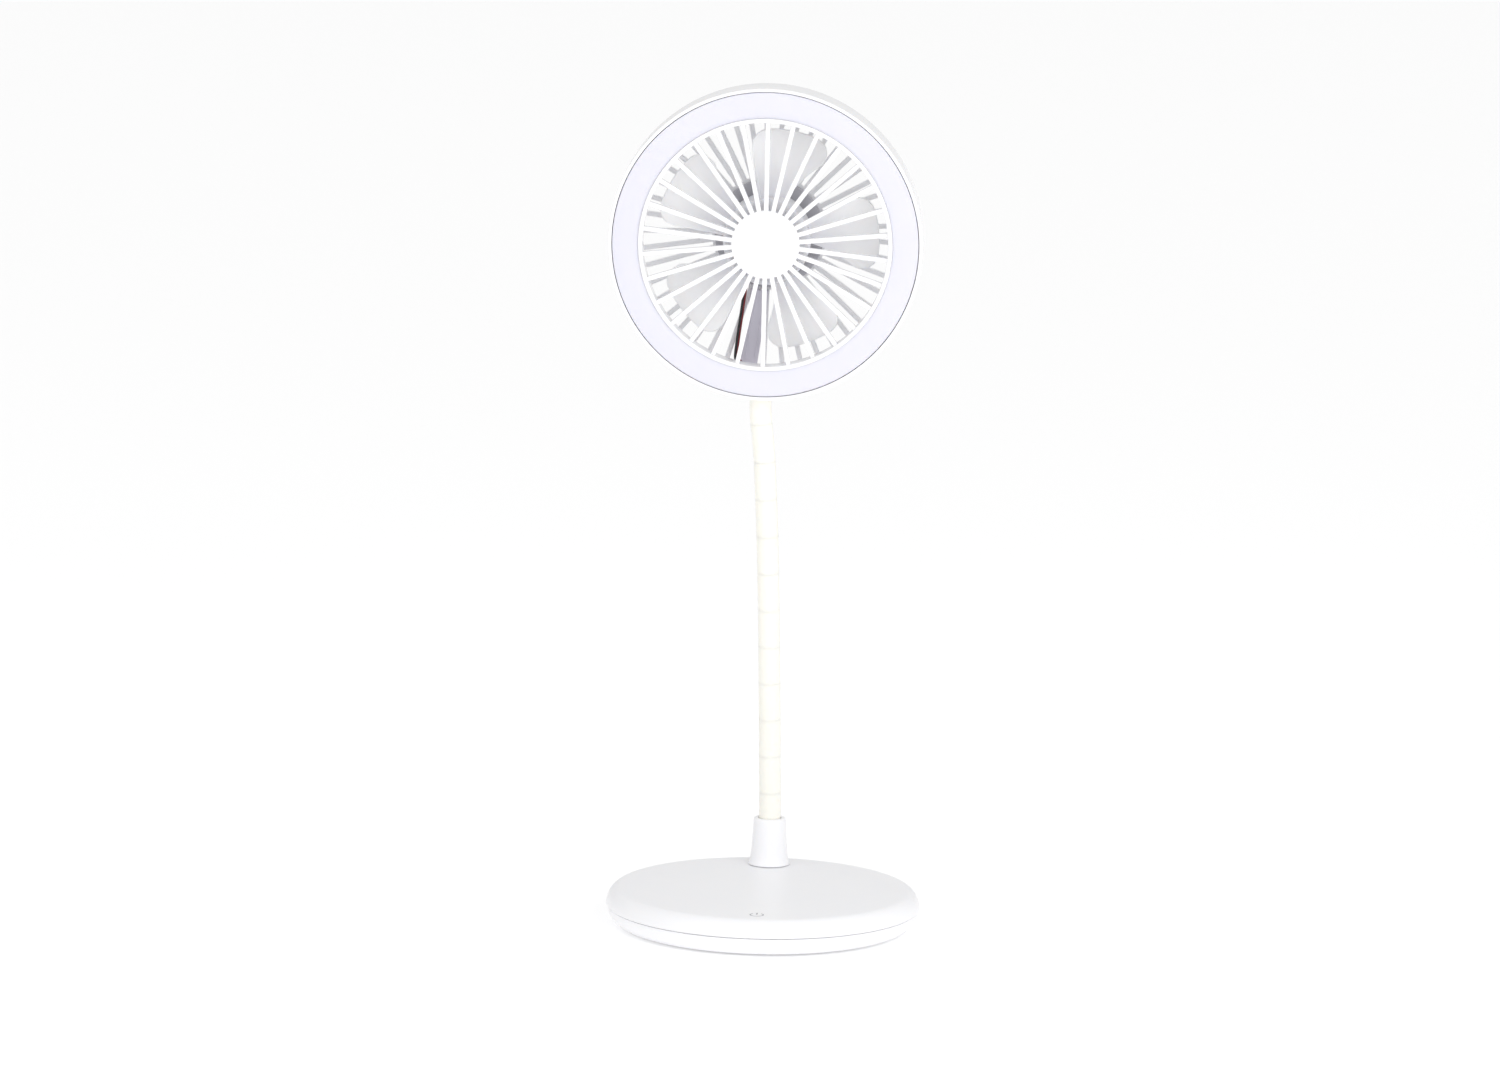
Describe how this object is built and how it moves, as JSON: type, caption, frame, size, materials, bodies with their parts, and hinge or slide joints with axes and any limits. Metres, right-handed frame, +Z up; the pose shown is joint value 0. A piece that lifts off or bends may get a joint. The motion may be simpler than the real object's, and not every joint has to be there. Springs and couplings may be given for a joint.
{
  "type": "desk fan",
  "caption": "White rechargeable desk fan with a ring light round its grille, on a bendable gooseneck and a round low base with a touch key.",
  "frame": {"origin": "centre of the anti-slip pad's underside, on the table", "axes": "+Z up, the fan faces -Y, +X to the right as the front shows it"},
  "size_m": [0.146, 0.14, 0.374],
  "materials": {
    "white_abs": "fine satin moulded ABS",
    "milky_diffuser": "milky frosted polycarbonate",
    "milky_impeller": "milky translucent polypropylene",
    "silicone_sleeve": "smooth ivory silicone",
    "grey_mount": "grey moulded",
    "zinc_steel": "zinc plated",
    "dark_iron": "dark ferrite and laminations",
    "sintered_bronze": "sintered bronze",
    "pad_rubber": "matt anti-slip foam rubber",
    "green_board": "solder-masked board",
    "white_board": "white solder-masked board",
    "cell_foil": "laminated foil",
    "black_wire": "PVC insulation",
    "red_wire": "PVC insulation",
    "black_moulding": "black moulded"
  },
  "bodies": {
    "base": {"anti_slip_pad": "pad_rubber", "base_bottom_shell": "white_abs", "base_top_shell": "white_abs", "base_screw_1": "zinc_steel", "base_screw_2": "zinc_steel", "base_screw_3": "zinc_steel", "base_screw_4": "zinc_steel", "ballast_plate": "zinc_steel", "battery_pack": "cell_foil", "main_board": "green_board", "usb_inlet_shell": "zinc_steel", "usb_inlet_tongue": "black_moulding", "touch_board": "green_board", "neck_collar": "white_abs", "neck_lower_ferrule": "zinc_steel", "neck_washer": "zinc_steel", "neck_hex_nut": "zinc_steel"},
    "link_01": {"neck_link_01": "silicone_sleeve"},
    "link_02": {"neck_link_02": "silicone_sleeve"},
    "link_03": {"neck_link_03": "silicone_sleeve"},
    "link_04": {"neck_link_04": "silicone_sleeve"},
    "link_05": {"neck_link_05": "silicone_sleeve"},
    "link_06": {"neck_link_06": "silicone_sleeve"},
    "link_07": {"neck_link_07": "silicone_sleeve"},
    "link_08": {"neck_link_08": "silicone_sleeve"},
    "link_09": {"neck_link_09": "silicone_sleeve"},
    "link_10": {"neck_link_10": "silicone_sleeve"},
    "link_11": {"neck_link_11": "silicone_sleeve"},
    "head": {"front_housing": "white_abs", "light_diffuser": "milky_diffuser", "led_board": "white_board", "front_grille": "white_abs", "rear_grille": "white_abs", "wire_duct": "white_abs", "motor_mount": "grey_mount", "motor_mount_screw_1": "zinc_steel", "motor_mount_screw_2": "zinc_steel", "motor_mount_screw_3": "zinc_steel", "motor_can": "zinc_steel", "motor_end_cap": "black_moulding", "motor_magnet": "dark_iron", "motor_front_bushing": "sintered_bronze", "motor_rear_bushing": "sintered_bronze", "motor_lead_black": "black_wire", "motor_lead_red": "red_wire", "housing_screw_1": "zinc_steel", "housing_screw_2": "zinc_steel", "housing_screw_3": "zinc_steel", "housing_screw_4": "zinc_steel", "neck_upper_ferrule": "zinc_steel", "neck_clamp": "white_abs", "neck_clamp_screw_1": "zinc_steel", "neck_clamp_screw_2": "zinc_steel"},
    "rotor": {"impeller": "milky_impeller", "motor_shaft": "zinc_steel", "motor_armature": "dark_iron"}
  },
  "joints": [
    {"name": "neck_pitch", "type": "hinge", "parent": "base", "child": "link_01", "pos_m": [0, 0.051, 0.0415], "axis": [1, 0, 0], "range_deg": [-8, 15]},
    {"name": "neck_side", "type": "hinge", "parent": "link_01", "child": "link_02", "pos_m": [-0.00036, 0.05063, 0.05864], "axis": [0, 1, 0], "range_deg": [-10, 10]},
    {"name": "neck_pitch_2", "type": "hinge", "parent": "link_02", "child": "link_03", "pos_m": [-0.00071, 0.04961, 0.07577], "axis": [1, 0, 0], "range_deg": [-8, 15]},
    {"name": "neck_side_2", "type": "hinge", "parent": "link_03", "child": "link_04", "pos_m": [-0.00107, 0.04808, 0.09291], "axis": [0, 1, 0], "range_deg": [-10, 10]},
    {"name": "neck_pitch_3", "type": "hinge", "parent": "link_04", "child": "link_05", "pos_m": [-0.00144, 0.04619, 0.11005], "axis": [1, 0, 0], "range_deg": [-8, 15]},
    {"name": "neck_side_3", "type": "hinge", "parent": "link_05", "child": "link_06", "pos_m": [-0.00184, 0.04409, 0.12718], "axis": [0, 1, 0], "range_deg": [-10, 10]},
    {"name": "neck_pitch_4", "type": "hinge", "parent": "link_06", "child": "link_07", "pos_m": [-0.00229, 0.04191, 0.14432], "axis": [1, 0, 0], "range_deg": [-8, 15]},
    {"name": "neck_side_4", "type": "hinge", "parent": "link_07", "child": "link_08", "pos_m": [-0.00284, 0.03981, 0.16145], "axis": [0, 1, 0], "range_deg": [-10, 10]},
    {"name": "neck_pitch_5", "type": "hinge", "parent": "link_08", "child": "link_09", "pos_m": [-0.00353, 0.03792, 0.17859], "axis": [1, 0, 0], "range_deg": [-8, 15]},
    {"name": "neck_side_5", "type": "hinge", "parent": "link_09", "child": "link_10", "pos_m": [-0.00444, 0.03639, 0.19573], "axis": [0, 1, 0], "range_deg": [-10, 10]},
    {"name": "neck_pitch_6", "type": "hinge", "parent": "link_10", "child": "link_11", "pos_m": [-0.00566, 0.03537, 0.21286], "axis": [1, 0, 0], "range_deg": [-8, 15]},
    {"name": "neck_side_6", "type": "hinge", "parent": "link_11", "child": "head", "pos_m": [-0.0073, 0.035, 0.23], "axis": [0, 1, 0], "range_deg": [-10, 10]},
    {"name": "rotor_spin", "type": "hinge", "parent": "head", "child": "rotor", "pos_m": [-0.00601, 0.0218, 0.30399], "axis": [0, -1, 0], "continuous": true}
  ],
  "couplings": [
    {"joint": "neck_pitch_2", "follows": "neck_pitch", "ratio": 1},
    {"joint": "neck_side_2", "follows": "neck_side", "ratio": 1},
    {"joint": "neck_pitch_3", "follows": "neck_pitch", "ratio": 1},
    {"joint": "neck_side_3", "follows": "neck_side", "ratio": 1},
    {"joint": "neck_pitch_4", "follows": "neck_pitch", "ratio": 1},
    {"joint": "neck_side_4", "follows": "neck_side", "ratio": 1},
    {"joint": "neck_pitch_5", "follows": "neck_pitch", "ratio": 1},
    {"joint": "neck_side_5", "follows": "neck_side", "ratio": 1},
    {"joint": "neck_pitch_6", "follows": "neck_pitch", "ratio": 1},
    {"joint": "neck_side_6", "follows": "neck_side", "ratio": 1}
  ]
}
